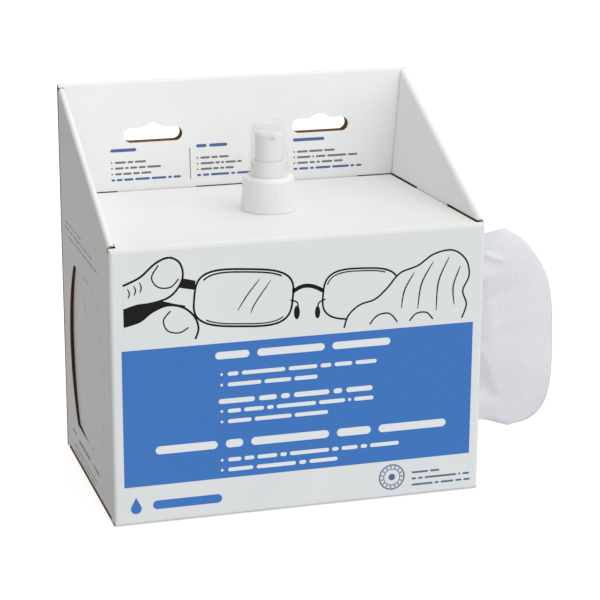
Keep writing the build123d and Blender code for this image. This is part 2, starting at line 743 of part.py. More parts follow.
def make_pulled_tissue():
    """The tissue drawn halfway out at +X: a thin closed solid with a narrow neck in the opening."""
    wall = HALF_W
    mid = TEAR_CENTRE_Z + PULLED_RISE
    neck_low = TEAR_CENTRE_Z - PULLED_NECK_HALF
    neck_high = TEAR_CENTRE_Z + PULLED_NECK_HALF
    out = PULLED_OUT
    outline = Curve() + [
        Line((wall - BOARD - STACK_SIDE_GAP + 1, neck_low), (wall + 2, neck_low)),
        Spline(
            (wall + 2, neck_low),
            (wall + 0.4 * out, mid - 66),
            (wall + 0.6 * out, mid - 71.5),
            (wall + 0.82 * out, mid - 70),
            (wall + 0.97 * out, mid - 55),
            (wall + out, mid - 20),
            (wall + 0.97 * out, mid + 14),
            (wall + 0.84 * out, mid + 37),
            (wall + 0.7 * out, mid + 49),
            (wall + 0.54 * out, mid + 57),
            (wall + 0.38 * out, mid + 54),
            (wall + 2, neck_high),
        ),
        Line((wall + 2, neck_high), (wall - BOARD - STACK_SIDE_GAP + 1, neck_high)),
        Line(
            (wall - BOARD - STACK_SIDE_GAP + 1, neck_high),
            (wall - BOARD - STACK_SIDE_GAP + 1, neck_low),
        ),
    ]
    leaf = extrude(Plane.XZ * make_face(outline), PULLED_HALF_T, both=True)
    foot_x = wall - BOARD - STACK_SIDE_GAP + 1
    half = PULLED_FOOT_HALF
    foot = block(foot_x, foot_x + PULLED_FOOT_T, -half, half, neck_low, neck_high)
    return leaf + foot


def mirrored(shape):
    return mirror(shape, about=Plane.YZ)


left_rear_y = HALF_D - BOARD - LAYER_GAP - BEND_R
right_rear_y = HALF_D - BEND_R

nodes = {
    "front_panel": make_front_panel(),
    "left_side_panel": make_side_panel(left_rear_y),
    "right_side_panel": mirrored(make_side_panel(right_rear_y)),
    "back_panel": make_back_panel(),
    "glue_flap": make_glue_flap(),
    "deck_panel": make_deck_panel(),
    "back_liner": make_back_liner(),
    "left_wing_liner": make_wing_liner(),
    "right_wing_liner": mirrored(make_wing_liner()),
    "bottom_panel": make_bottom_panel(),
    "left_dust_flap": make_dust_flap(),
    "right_dust_flap": mirrored(make_dust_flap()),
    "left_tearout_front": make_tearout(-1),
    "left_tearout_rear": make_tearout_rear(),
    "bottle": make_bottle(),
    "cleaning_fluid": make_fluid(),
    "closure": make_closure(),
    "neck_gasket": make_gasket(),
    "pump_housing": make_housing(),
    "housing_retainer": make_retainer(),
    "pump_stem": make_stem(),
    "piston": make_piston(),
    "return_spring": make_spring(),
    "ball_valve": make_ball(),
    "dip_tube": make_dip_tube(),
    "actuator": make_actuator(),
    "nozzle_insert": make_nozzle_insert(),
    "overcap": make_overcap(),
    "left_tissue_stack": make_stack(),
    "right_tissue_stack": mirrored(make_stack()),
    "pulled_tissue": make_pulled_tissue(),
}

os.makedirs("parts", exist_ok=True)
for name, shape in nodes.items():
    export_step(shape, f"parts/{name}.step")
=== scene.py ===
import math
import random

import bpy
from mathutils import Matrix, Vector, noise


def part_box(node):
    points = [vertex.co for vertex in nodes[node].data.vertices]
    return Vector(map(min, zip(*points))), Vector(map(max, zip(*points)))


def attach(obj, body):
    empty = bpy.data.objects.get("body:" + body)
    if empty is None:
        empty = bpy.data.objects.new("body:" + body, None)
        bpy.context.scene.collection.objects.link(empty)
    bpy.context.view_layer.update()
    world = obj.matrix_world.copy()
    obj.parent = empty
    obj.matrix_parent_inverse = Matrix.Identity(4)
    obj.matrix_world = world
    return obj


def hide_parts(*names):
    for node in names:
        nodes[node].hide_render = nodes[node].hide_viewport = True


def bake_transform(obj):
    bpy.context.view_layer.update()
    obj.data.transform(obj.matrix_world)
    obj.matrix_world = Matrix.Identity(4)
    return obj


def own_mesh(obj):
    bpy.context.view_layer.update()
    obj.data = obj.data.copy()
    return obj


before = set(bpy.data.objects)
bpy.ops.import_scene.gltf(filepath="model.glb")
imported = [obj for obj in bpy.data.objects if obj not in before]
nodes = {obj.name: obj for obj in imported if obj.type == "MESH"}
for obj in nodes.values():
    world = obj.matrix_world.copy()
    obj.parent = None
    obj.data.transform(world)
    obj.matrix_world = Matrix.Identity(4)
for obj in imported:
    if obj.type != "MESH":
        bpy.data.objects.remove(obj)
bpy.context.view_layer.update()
scene = bpy.context.scene
scene.view_settings.view_transform = "Standard"

MM = 0.001
HALF_W, HALF_D, DECK, BACK = 0.108, 0.070, 0.160, 0.225
BOARD, BEND = 0.0016, 0.0024
FLUTE = 0.0034
SLOPE = math.atan2(BACK - DECK, 2 * HALF_D)
BACK_TILT, WING_TILT = math.radians(5.4), math.radians(7.2)
FOLD_OUT = 0.0020
WAVE_LENGTH = 0.314    # a wave texture of scale 1 repeats about once in this many metres
MIX_FACTOR, MIX_A, MIX_B, MIX_RESULT = 0, 6, 7, 2    # the colour sockets of a Mix node


# ---------------------------------------------------------------- materials
def material(name):
    mat = bpy.data.materials.new(name)
    mat.use_nodes = True
    tree = mat.node_tree
    return mat, tree, tree.nodes["Principled BSDF"]


def add(tree, kind, **settings):
    node = tree.nodes.new(kind)
    for key, value in settings.items():
        setattr(node, key, value)
    return node


def join(tree, a, out, b, into):
    tree.links.new(a.outputs[out], b.inputs[into])


def object_coords(tree, scale=(1, 1, 1)):
    coords = add(tree, "ShaderNodeTexCoord")
    mapping = add(tree, "ShaderNodeMapping")
    mapping.inputs["Scale"].default_value = scale
    join(tree, coords, "Object", mapping, "Vector")
    return mapping


def noise_node(tree, scale, detail=3.0, stretch=(1, 1, 1), rough=0.5):
    mapping = object_coords(tree, stretch)
    tex = add(tree, "ShaderNodeTexNoise")
    tex.inputs["Scale"].default_value = scale
    tex.inputs["Detail"].default_value = detail
    tex.inputs["Roughness"].default_value = rough
    join(tree, mapping, "Vector", tex, "Vector")
    return tex


def ramp(tree, source, out, stops):
    node = add(tree, "ShaderNodeValToRGB")
    elements = node.color_ramp.elements
    while len(elements) < len(stops):
        elements.new(0.5)
    for element, (pos, colour) in zip(elements, stops):
        element.position = pos
        element.color = (*colour, 1)
    join(tree, source, out, node, "Fac")
    return node


def bump_chain(tree, bsdf, layers):
    """layers: (source node, output name, strength, distance); chained into the shader's normal."""
    last = None
    for source, out, strength, distance in layers:
        node = add(tree, "ShaderNodeBump")
        node.inputs["Strength"].default_value = strength
        node.inputs["Distance"].default_value = distance
        join(tree, source, out, node, "Height")
        if last is not None:
            join(tree, last, "Normal", node, "Normal")
        last = node
    join(tree, last, "Normal", bsdf, "Normal")


def math_node(tree, operation, a, b=None, value=None):
    node = add(tree, "ShaderNodeMath", operation=operation)
    join(tree, a[0], a[1], node, 0)
    if b is not None:
        join(tree, b[0], b[1], node, 1)
    if value is not None:
        node.inputs[1].default_value = value
    return node


def colour_mix(tree, factor, first, second):
    """Mix two colours; each is three numbers or, like the factor, a (node, output) pair."""
    node = add(tree, "ShaderNodeMix", data_type="RGBA")
    join(tree, *factor, node, MIX_FACTOR)
    for source, into in ((first, MIX_A), (second, MIX_B)):
        if len(source) == 2:
            join(tree, *source, node, into)
        else:
            node.inputs[into].default_value = (*source, 1)
    return node


def board_coat(name, across):
    """White clay-coated liner: a faint sheen, paper grain and the flutes just showing through."""
    mat, tree, bsdf = material(name)
    cloud = noise_node(tree, 26, 3)
    tint = ramp(tree, cloud, "Fac", [(0.3, (0.800, 0.812, 0.818)), (0.7, (0.832, 0.840, 0.842))])
    join(tree, tint, "Color", bsdf, "Base Color")
    grain = noise_node(tree, 1900, 4)
    rough = ramp(tree, grain, "Fac", [(0.3, (0.44,) * 3), (0.7, (0.56,) * 3)])
    join(tree, rough, "Color", bsdf, "Roughness")
    bsdf.inputs["Specular IOR Level"].default_value = 0.32
    wave = add(tree, "ShaderNodeTexWave", bands_direction=across)
    wave.inputs["Scale"].default_value = WAVE_LENGTH / (2 * FLUTE)
    wave.inputs["Distortion"].default_value = 0.4
    wave.inputs["Detail"].default_value = 1
    join(tree, object_coords(tree), "Vector", wave, "Vector")
    bump_chain(tree, bsdf, [
        (wave, "Fac", 0.06, 0.00012),
        (grain, "Fac", 0.07, 0.00008),
        (cloud, "Fac", 0.25, 0.0006),
    ])
    return mat


def board_kraft(name):
    """Brown kraft liner with long fibres and dark flecks."""
    mat, tree, bsdf = material(name)
    fibre = noise_node(tree, 420, 6, (1, 1, 0.25), 0.7)
    dark, middle, light = (0.20, 0.115, 0.055), (0.33, 0.20, 0.105), (0.43, 0.27, 0.15)
    tint = ramp(tree, fibre, "Fac", [(0.25, dark), (0.5, middle), (0.75, light)])
    join(tree, tint, "Color", bsdf, "Base Color")
    grain = noise_node(tree, 1500, 4)
    rough = ramp(tree, grain, "Fac", [(0.3, (0.80,) * 3), (0.7, (0.93,) * 3)])
    join(tree, rough, "Color", bsdf, "Roughness")
    bsdf.inputs["Specular IOR Level"].default_value = 0.15
    bump_chain(tree, bsdf, [(fibre, "Fac", 0.35, 0.00015), (grain, "Fac", 0.2, 0.00008)])
    return mat


def board_edge(name, through, start, along, light=(0.55, 0.28, 0.125)):
    """A cut edge: two liners with the wavy medium between them, and the open flutes painted dark as shade.

    through is the direction through the board, start the place of its first face along that, and
    along the way the flutes follow one another."""
    mat, tree, bsdf = material("cut_edge_" + name)
    coords = add(tree, "ShaderNodeTexCoord")
    depth = add(tree, "ShaderNodeVectorMath", operation="DOT_PRODUCT")
    join(tree, coords, "Object", depth, 0)
    depth.inputs[1].default_value = through
    shifted = math_node(tree, "SUBTRACT", (depth, "Value"), value=start)
    unit = math_node(tree, "MULTIPLY", (shifted, 0), value=1 / BOARD)
    run = add(tree, "ShaderNodeVectorMath", operation="DOT_PRODUCT")
    join(tree, coords, "Object", run, 0)
    run.inputs[1].default_value = along
    turns = math_node(tree, "MULTIPLY", (run, "Value"), value=2 * math.pi / FLUTE)
    wobble = noise_node(tree, 90, 2)
    spread = math_node(tree, "MULTIPLY", (wobble, "Fac"), value=5.0)
    phase = math_node(tree, "ADD", (turns, 0), (spread, 0))
    swing = math_node(tree, "SINE", (phase, 0))
    scaled = math_node(tree, "MULTIPLY", (swing, 0), value=0.30)
    centre = math_node(tree, "ADD", (scaled, 0), value=0.5)
    away = math_node(tree, "SUBTRACT", (unit, 0), (centre, 0))
    apart = math_node(tree, "ABSOLUTE", (away, 0))
    medium = math_node(tree, "LESS_THAN", (apart, 0), value=0.17)
    middle = math_node(tree, "SUBTRACT", (unit, 0), value=0.5)
    rim = math_node(tree, "ABSOLUTE", (middle, 0))
    liner = math_node(tree, "GREATER_THAN", (rim, 0), value=0.34)
    solid = math_node(tree, "MAXIMUM", (medium, 0), (liner, 0))
    fibre = noise_node(tree, 700, 5)
    paper = ramp(tree, fibre, "Fac", [(0.3, tuple(c * 0.5 for c in light)), (0.7, light)])
    # The open flutes between the papers get a near-black colour: painted shade for their insides
    painted_hollow_shade = (0.045, 0.022, 0.012)
    mix = colour_mix(tree, (solid, 0), painted_hollow_shade, (paper, "Color"))
    join(tree, mix, MIX_RESULT, bsdf, "Base Color")
    bsdf.inputs["Specular IOR Level"].default_value = 0.1
    rough = ramp(tree, fibre, "Fac", [(0.3, (0.86,) * 3), (0.7, (0.96,) * 3)])
    join(tree, rough, "Color", bsdf, "Roughness")
    bump_chain(tree, bsdf, [(solid, 0, 0.6, 0.0003), (fibre, "Fac", 0.3, 0.0001)])
    return mat


def ink(name, colour, spread=0.06, sheen=0.5, specular=0.3):
    """Printed ink: its colour breaks up very slightly over the paper grain."""
    mat, tree, bsdf = material(name)
    grain = noise_node(tree, 900, 4)
    dark = tuple(c * (1 - spread) for c in colour)
    light = tuple(min(1, c * (1 + spread)) for c in colour)
    tint = ramp(tree, grain, "Fac", [(0.3, dark), (0.7, light)])
    join(tree, tint, "Color", bsdf, "Base Color")
    rough = ramp(tree, grain, "Fac", [(0.3, (sheen - 0.06,) * 3), (0.7, (sheen + 0.06,) * 3)])
    join(tree, rough, "Color", bsdf, "Roughness")
    bsdf.inputs["Specular IOR Level"].default_value = specular
    bump_chain(tree, bsdf, [(grain, "Fac", 0.05, 0.00005)])
    return mat


def plastic(name, low, high, rough, bump=0.04, scale=700, specular=0.45,
            transmission=0.0, subsurface=0.0, alpha=1.0):
    """Moulded plastic with a fine mould texture and slow variation in tone."""
    mat, tree, bsdf = material(name)
    cloud = noise_node(tree, 60, 3)
    tint = ramp(tree, cloud, "Fac", [(0.3, low), (0.7, high)])
    join(tree, tint, "Color", bsdf, "Base Color")
    grain = noise_node(tree, scale, 3)
    shade = ramp(tree, grain, "Fac", [(0.3, (rough * 0.88,) * 3), (0.7, (rough * 1.12,) * 3)])
    join(tree, shade, "Color", bsdf, "Roughness")
    bsdf.inputs["Specular IOR Level"].default_value = specular
    bsdf.inputs["Transmission Weight"].default_value = transmission
    bsdf.inputs["Alpha"].default_value = alpha
    if subsurface:
        bsdf.inputs["Subsurface Weight"].default_value = subsurface
        bsdf.inputs["Subsurface Radius"].default_value = (0.004, 0.004, 0.0045)
    bump_chain(tree, bsdf, [(grain, "Fac", bump, 0.00006)])
    return mat


def metal(name, low, high, rough):
    """Bare metal with faint drawn streaks."""
    mat, tree, bsdf = material(name)
    streak = noise_node(tree, 500, 4, (1, 1, 8))
    tint = ramp(tree, streak, "Fac", [(0.3, low), (0.7, high)])
    join(tree, tint, "Color", bsdf, "Base Color")
    shade = ramp(tree, streak, "Fac", [(0.3, (rough * 0.8,) * 3), (0.7, (rough * 1.2,) * 3)])
    join(tree, shade, "Color", bsdf, "Roughness")
    bsdf.inputs["Metallic"].default_value = 1.0
    bump_chain(tree, bsdf, [(streak, "Fac", 0.1, 0.00005)])
    return mat


def tissue_paper(name, low, high):
    """Soft creped tissue: fine crepe lines, loose fibres and a little light coming through."""
    mat, tree, bsdf = material(name)
    fibre = noise_node(tree, 520, 6, (1, 1, 0.4), 0.65)
    tint = ramp(tree, fibre, "Fac", [(0.3, low), (0.7, high)])
    join(tree, tint, "Color", bsdf, "Base Color")
    shade = ramp(tree, fibre, "Fac", [(0.3, (0.84,) * 3), (0.7, (0.95,) * 3)])
    join(tree, shade, "Color", bsdf, "Roughness")
    bsdf.inputs["Specular IOR Level"].default_value = 0.12
    bsdf.inputs["Sheen Weight"].default_value = 0.12
    bsdf.inputs["Sheen Roughness"].default_value = 0.6
    bsdf.inputs["Subsurface Weight"].default_value = 0.25
    bsdf.inputs["Subsurface Radius"].default_value = (0.003, 0.003, 0.0032)
    crepe = noise_node(tree, 260, 3, (3, 3, 1))
    bump_chain(tree, bsdf, [(crepe, "Fac", 0.05, 0.0003), (fibre, "Fac", 0.10, 0.0001)])
    return mat


COAT_X = board_coat("coated_board_front", "X")
COAT_Y = board_coat("coated_board_side", "Y")
KRAFT = board_kraft("kraft_inside")
WHITE_PLASTIC = plastic(
    "white_polypropylene", (0.83, 0.842, 0.842), (0.865, 0.873, 0.873), 0.34, subsurface=0.35)
NATURAL_PLASTIC = plastic(
    "natural_polyethylene", (0.70, 0.73, 0.73), (0.78, 0.80, 0.80), 0.42, subsurface=0.2)
BOTTLE_PLASTIC = plastic(
    "bottle_polyethylene", (0.80, 0.82, 0.84), (0.86, 0.88, 0.89), 0.38, subsurface=0.2)
CLEAR_PLASTIC = plastic(
    "frosted_overcap", (0.88, 0.90, 0.90), (0.95, 0.96, 0.96), 0.12, 0.03, 500, 1.0, alpha=0.15)
FLUID = plastic(
    "cleaning_fluid_tint", (0.60, 0.80, 0.92), (0.66, 0.85, 0.95), 0.08, 0.01, 60, transmission=0.9)
GASKET = plastic("gasket_foam", (0.66, 0.65, 0.62), (0.74, 0.73, 0.70), 0.8, 0.3, 1500)
STEEL = metal("spring_steel", (0.46, 0.47, 0.49), (0.62, 0.63, 0.65), 0.28)
TISSUE = tissue_paper("lens_tissue", (0.815, 0.818, 0.858), (0.87, 0.872, 0.91))
BLUE = ink("ink_blue", (0.034, 0.178, 0.555))
BLACK = ink("ink_black", (0.010, 0.009, 0.009), 0.06, 0.7, 0.12)
GREY = ink("ink_grey", (0.17, 0.17, 0.18))
PALE_GREY = ink("ink_pale_grey", (0.40, 0.40, 0.41))
NAVY = ink("ink_navy", (0.075, 0.13, 0.34))
PAPER_WHITE = ink("ink_reversed_white", (0.85, 0.87, 0.88), 0.03)
BOARD_WHITE = ink("board_under_drawing", (0.816, 0.826, 0.830), 0.01)
HAZE = ink("ink_haze", (0.24, 0.30, 0.47))
SLATE = ink("ink_slate", (0.075, 0.145, 0.27))


# ---------------------------------------------------------------- the board panels
# Each split rule takes a face's centre and normal, and says 0 for coated, 1 for kraft or 2 for cut
def radial(c, n, ay, az):
    """Whether a face of a bend looks away from the bend's axis, at (ay, az) in the YZ plane."""
    return n.y * (c.y - ay) + n.z * (c.z - az) > 0


def split_front(c, n):
    if abs(n.z) > 0.9 or n.y > 0.9 and abs(c.x) > HALF_W - BEND:
        return 2
    if abs(c.x) > HALF_W - BEND:
        ax = math.copysign(HALF_W - BEND, c.x)
        return 0 if n.x * (c.x - ax) + n.y * (c.y + HALF_D - BEND) > 0 else 1
    return 0 if n.y < 0 else 1


def split_side(sign):
    def rule(c, n):
        if n.x * sign > 0.9 or n.z < -0.5 and c.z < 2 * BEND:
            return 0
        return 1 if n.x * sign < -0.9 else 2
    return rule


def split_back(c, n):
    if abs(n.z) > 0.9:
        return 2
    if c.x > HALF_W - BEND and c.y > HALF_D - BEND:
        if n.y < -0.99:
            return 2
        return 0 if n.x * (c.x - HALF_W + BEND) + n.y * (c.y - HALF_D + BEND) > 0 else 1
    if n.y > 0.9:
        return 0
    return 1 if n.y < -0.9 else 2


def split_glue(c, n):
    if abs(n.z) > 0.5:
        return 2
    if n.y > 0.3 or n.x < -0.3:
        return 0
    return 1 if n.y < -0.3 or n.x > 0.3 and c.x < -0.1 else 2


def split_deck(c, n):
    if c.y < -HALF_D + BEND:
        if abs(n.x) > 0.9 or n.z < -0.99:
            return 2
        return 0 if radial(c, n, -HALF_D + BEND, DECK - BEND) else 1
    if n.z > 0.9:
        return 0
    return 1 if n.z < -0.9 else 2


def split_back_liner(c, n):
    if abs(n.x) > 0.5:
        return 2
    if c.z > BACK - FOLD_OUT:
        return 0 if radial(c, n, HALF_D - FOLD_OUT, BACK - FOLD_OUT) else 1
    face = -n.y * math.cos(BACK_TILT) + n.z * math.sin(BACK_TILT)
    if face > 0.95:
        return 0
    return 1 if face < -0.95 else 2


def split_wing(sign):
    def rule(c, n):
        up = n.y * math.cos(SLOPE) + n.z * math.sin(SLOPE)
        down = n.y * math.sin(SLOPE) - n.z * math.cos(SLOPE)
        below = (c.y + HALF_D) * math.sin(SLOPE) - (c.z - DECK) * math.cos(SLOPE)
        inward = -n.x * sign
        if below < FOLD_OUT:
            if abs(up) > 0.5:
                return 2
            out = HALF_W - FOLD_OUT - abs(c.x)
            return 0 if inward * out + down * (below - FOLD_OUT) > 0 else 1
        face = inward * math.cos(WING_TILT) - down * math.sin(WING_TILT)
        if face > 0.95:
            return 0
        return 1 if face < -0.95 else 2
    return rule


def split_bottom(c, n):
    if abs(n.x) > 0.9:
        return 2
    if c.y < -HALF_D + BEND:
        return 0 if radial(c, n, -HALF_D + BEND, BEND) else 1
    if c.y > 0.060:
        if n.z > 0.9:
            return 2
        return 0 if n.y > 0.2 or n.z < -0.2 else 1
    return 0 if n.z < 0 else 1


def split_flap(c, n):
    if abs(n.z) > 0.9:
        return 0 if n.z < 0 else 1
    return 0 if abs(c.x) > HALF_W - BEND and n.x * c.x > 0 else 2


def dress_board(name, coat, edge, rule):
    mesh = nodes[name].data
    mesh.materials.clear()
    for mat in (coat, KRAFT, edge):
        mesh.materials.append(mat)
    for face in mesh.polygons:
        face.material_index = rule(face.center, face.normal)


EDGE_FRONT = board_edge("front", (0, 1, 0), -HALF_D, (1, 0, 0))
# The back's cut edges get a lighter kraft colour: painted light, brightening faces that sit in shade
EDGE_BACK_PAINTED_LIGHT = board_edge("back", (0, 1, 0), HALF_D - BOARD, (1, 0, 0), (0.74, 0.38, 0.17))
# The left side's cut edges, the tear-out's among them, get a near-black kraft colour: painted shade for the
# slit lying in shadow
EDGE_LEFT_PAINTED_SHADE = board_edge("left", (1, 0, 0), -HALF_W, (0, 1, 0), (0.12, 0.045, 0.022))
EDGE_RIGHT = board_edge("right", (1, 0, 0), HALF_W - BOARD, (0, 1, 0))
EDGE_DECK = board_edge("deck", (0, 0, 1), DECK - BOARD, (1, 0, 0))
EDGE_FLOOR = board_edge("floor", (0, 0, 1), 0, (1, 0, 0))
EDGE_FLAP = board_edge("flap", (0, 0, 1), BOARD + 0.0001, (0, 1, 0))
cb, sb = math.cos(BACK_TILT), math.sin(BACK_TILT)
EDGE_BACK_LINER = board_edge(
    "back_liner", (0, -cb, sb), -(HALF_D - FOLD_OUT) * cb + (BACK - FOLD_OUT) * sb + 0.0004, (1, 0, 0))
cw, sw = math.cos(WING_TILT), math.sin(WING_TILT)
sv, cv = math.sin(SLOPE), math.cos(SLOPE)


def wing_edge(name, sign):
    """The cut edge of a side's tilted liner; sign is -1 at -X."""
    normal = Vector((-sign * cw, -sw * sv, sw * cv))
    centre = Vector((sign * (HALF_W - FOLD_OUT), -HALF_D + FOLD_OUT * sv, DECK - FOLD_OUT * cv))
    return board_edge(name, tuple(normal), normal.dot(centre) + 0.0004, (0, 1, 0))


dress_board("front_panel", COAT_X, EDGE_FRONT, split_front)
dress_board("left_side_panel", COAT_Y, EDGE_LEFT_PAINTED_SHADE, split_side(-1))
dress_board("right_side_panel", COAT_Y, EDGE_RIGHT, split_side(1))
dress_board("left_tearout_front", COAT_Y, EDGE_LEFT_PAINTED_SHADE, split_side(-1))
dress_board("left_tearout_rear", COAT_Y, EDGE_LEFT_PAINTED_SHADE, split_side(-1))
dress_board("back_panel", COAT_X, EDGE_BACK_PAINTED_LIGHT, split_back)
dress_board("glue_flap", COAT_X, EDGE_BACK_PAINTED_LIGHT, split_glue)
dress_board("deck_panel", COAT_X, EDGE_DECK, split_deck)
dress_board("back_liner", COAT_X, EDGE_BACK_LINER, split_back_liner)
dress_board("left_wing_liner", COAT_Y, wing_edge("left_wing", -1), split_wing(-1))
dress_board("right_wing_liner", COAT_Y, wing_edge("right_wing", 1), split_wing(1))
dress_board("bottom_panel", COAT_X, EDGE_FLOOR, split_bottom)
dress_board("left_dust_flap", COAT_Y, EDGE_FLAP, split_flap)
dress_board("right_dust_flap", COAT_Y, EDGE_FLAP, split_flap)


def dress(mat, *names):
    for name in names:
        mesh = nodes[name].data
        mesh.materials.clear()
        mesh.materials.append(mat)


dress(WHITE_PLASTIC, "closure", "actuator", "pump_housing", "housing_retainer", "pump_stem")
dress(NATURAL_PLASTIC, "piston", "dip_tube", "nozzle_insert")
dress(BOTTLE_PLASTIC, "bottle")
dress(CLEAR_PLASTIC, "overcap")
dress(FLUID, "cleaning_fluid")
dress(GASKET, "neck_gasket")
dress(STEEL, "ball_valve")


# ---------------------------------------------------------------- mesh helpers
def mesh_piece(name, verts, faces, mat, body, smooth=False):
    mesh = bpy.data.meshes.new(name)
    mesh.from_pydata([tuple(v) for v in verts], [], faces)
    mesh.update()
    mesh.materials.append(mat)
    if smooth:
        mesh.polygons.foreach_set("use_smooth", [True] * len(mesh.polygons))
    obj = bpy.data.objects.new(name, mesh)
    scene.collection.objects.link(obj)
    if body is not None:
        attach(obj, body)
    return obj


def tube_faces(rings, n, start=0):
    """The faces of a closed tube of rings + 1 loops of n points, with both ends filled."""
    last = start + rings * n
    faces = [list(range(start, start + n)), [last + k for k in reversed(range(n))]]
    for i in range(rings):
        a = start + i * n
        for k in range(n):
            j = (k + 1) % n
            faces.append([a + j, a + k, a + n + k, a + n + j])
    return faces


class Print:
    """Flat closed shapes of ink on one face; place(a, b, h) gives the point h above the face."""

    def __init__(self, place, low=-0.00006):
        self.place = place
        self.low = low
        self.verts = []
        self.faces = []

    def loop(self, points, high):
        """A filled outline, anticlockwise as seen from outside."""
        n = len(points)
        start = len(self.verts)
        self.verts += [self.place(a, b, self.low) for a, b in points]
        self.verts += [self.place(a, b, high) for a, b in points]
        self.faces.append([start + i for i in reversed(range(n))])
        self.faces.append([start + n + i for i in range(n)])
        for i in range(n):
            j = (i + 1) % n
            self.faces.append([start + i, start + j, start + n + j, start + n + i])

    def stroke(self, points, width, high, closed=False, taper=False):
        """A line of ink along points, as a closed strip."""
        n = len(points)
        left, right = [], []
        for i, (a, b) in enumerate(points):
            pa, pb = points[(i - 1) % n] if closed or i else points[i]
            na, nb = points[(i + 1) % n] if closed or i < n - 1 else points[i]
            da, db = na - pa, nb - pb
            size = math.hypot(da, db) or 1
            k = width / 2
            if taper:
                share = min(1, max(0, (i + 0.35) / (n - 0.3)))
                k *= 0.25 + 0.75 * math.sin(math.pi * share) ** 0.6
            left.append((a - db / size * k, b + da / size * k))
            right.append((a + db / size * k, b - da / size * k))
        start = len(self.verts)
        for side in (left, right):
            self.verts += [self.place(a, b, self.low) for a, b in side]
            self.verts += [self.place(a, b, high) for a, b in side]
        left_low, left_high, right_low, right_high = (start + row * n for row in range(4))
        for i in range(n if closed else n - 1):
            j = (i + 1) % n
            self.faces.append([right_high + i, right_high + j, left_high + j, left_high + i])
            self.faces.append([right_low + j, right_low + i, left_low + i, left_low + j])
            self.faces.append([right_low + i, right_low + j, right_high + j, right_high + i])
            self.faces.append([left_low + j, left_low + i, left_high + i, left_high + j])
        if not closed:
            e = n - 1
            self.faces.append([right_low, right_high, left_high, left_low])
            self.faces.append([right_low + e, left_low + e, left_high + e, right_high + e])

    def bar(self, a0, a1, b, height, high):
        """A rounded bar centred on b."""
        r = min(height, a1 - a0) / 2
        points = []
        for centre, start in ((a1 - r, -90), (a0 + r, 90)):
            for k in range(7):
                t = math.radians(start + 30 * k)
                points.append((centre + r * math.cos(t), b + r * math.sin(t)))
        self.loop(points, high)

    def words(self, a0, a1, b, height, high, counts):
        """A line of plain bars in place of lettering; counts gives each word's share of the line."""
        total = sum(counts) + 0.9 * (len(counts) - 1)
        unit = (a1 - a0) / total
        a = a0
        for count in counts:
            self.bar(a, a + unit * count, b, height, high)
            a += unit * (count + 0.9)

    def make(self, name, mat, body):
        return mesh_piece(name, self.verts, self.faces, mat, body)


def blend_four(p0, p1, p2, p3, t):
    """The Catmull-Rom value between p1 (t = 0) and p2 (t = 1)."""
    return 0.5 * (2 * p1 + (p2 - p0) * t + (2 * p0 - 5 * p1 + 4 * p2 - p3) * t ** 2
                  + (3 * p1 - p0 - 3 * p2 + p3) * t ** 3)


def curve(points, steps=10):
    """A smooth open line through points."""
    n = len(points)
    out = []
    for i in range(n - 1):
        p0, p1 = points[max(i - 1, 0)], points[i]
        p2, p3 = points[i + 1], points[min(i + 2, n - 1)]
        for k in range(steps):
            t = k / steps
            out.append(tuple(blend_four(p0[d], p1[d], p2[d], p3[d], t) for d in (0, 1)))
    out.append(points[-1])
    return out


def superellipse(centre_a, centre_b, half_a, half_b, power, steps=72):
    """A closed outline; power 2 is an ellipse, and more than 2 is squarer."""
    out = []
    for k in range(steps):
        t = math.radians(360 * k / steps)
        c, s = math.cos(t), math.sin(t)
        out.append((centre_a + half_a * math.copysign(abs(c) ** (2 / power), c),
                    centre_b + half_b * math.copysign(abs(s) ** (2 / power), s)))
    return out


def drawn_again(outline, centre, share_a, share_b, shift=0.0):
    """Part of an outline again, nearer its centre by the two shares."""
    ca, cb = centre
    return [(ca + shift + (a - ca) * share_a, cb + (b - cb) * share_b) for a, b in outline]


def on_front(a, b, h):
    return Vector((a * MM, -HALF_D - h, b * MM))


def on_left(a, b, h):
    """The left side seen from outside: a runs towards the front."""
    return Vector((-HALF_W - h, -a * MM, b * MM))


def on_back_liner(a, b, h):
    z = b * MM
    top = BACK - FOLD_OUT + FOLD_OUT * sb
    y = HALF_D - FOLD_OUT - FOLD_OUT * cb - (sb / cb) * (top - z)
    return Vector((a * MM, y - h * cb, z + h * sb))


# ---------------------------------------------------------------- print on the front
# Print is placed in millimetres; L1 to L3 are the heights in metres of ink laid over ink
L1, L2, L3 = 0.00005, 0.00009, 0.00013

field = Print(on_front)
field.loop([(-102, 23), (102, 23), (102, 102.5), (-102, 102.5)], L1)
field.make("print_front_field", BLUE, "station")

lines = Print(on_front)
lines.words(-49.5, 52.5, 95.4, 4.3, L2, (4, 8, 7))
lines.words(-42.5, 44.5, 84.4, 2.3, L2, (3, 12, 8, 3, 5, 6))
lines.words(-42.5, 9.7, 78.2, 2.3, L2, (10, 8, 7))
lines.words(-47.7, 42.3, 68.6, 2.9, L2, (8, 4, 2, 8, 2, 6))
lines.words(-42.5, 43, 62.7, 2.3, L2, (4, 6, 2, 12, 8, 1, 6))
lines.words(-42.5, 16, 56.6, 2.3, L2, (7, 11, 10))
lines.words(-84, 87, 43.4, 4.7, L2, (7, 2, 9, 4, 8))
lines.words(-42.5, 58.8, 33.8, 2.3, L2, (4, 3, 6, 2, 12, 2, 5, 2, 9))
lines.words(-42.5, 22, 27.9, 2.3, L2, (7, 11, 2, 8))
for b in (84.4, 78.2, 62.7, 56.6, 33.8, 27.9):
    lines.bar(-46.7, -45.1, b, 1.6, L2)
lines.make("print_front_lines", PAPER_WHITE, "station")

mark = Print(on_front)
drop = [(0, 6.1)]
for t in range(150, 391, 15):
    drop.append((3.1 * math.cos(math.radians(t)), 3.1 * math.sin(math.radians(t)) - 0.6))
mark.loop([(-95.5 + a, 10.6 + b) for a, b in drop], L1)
mark.bar(-86, -46, 11.2, 5.2, L1)
mark.make("print_front_mark", BLUE, "station")

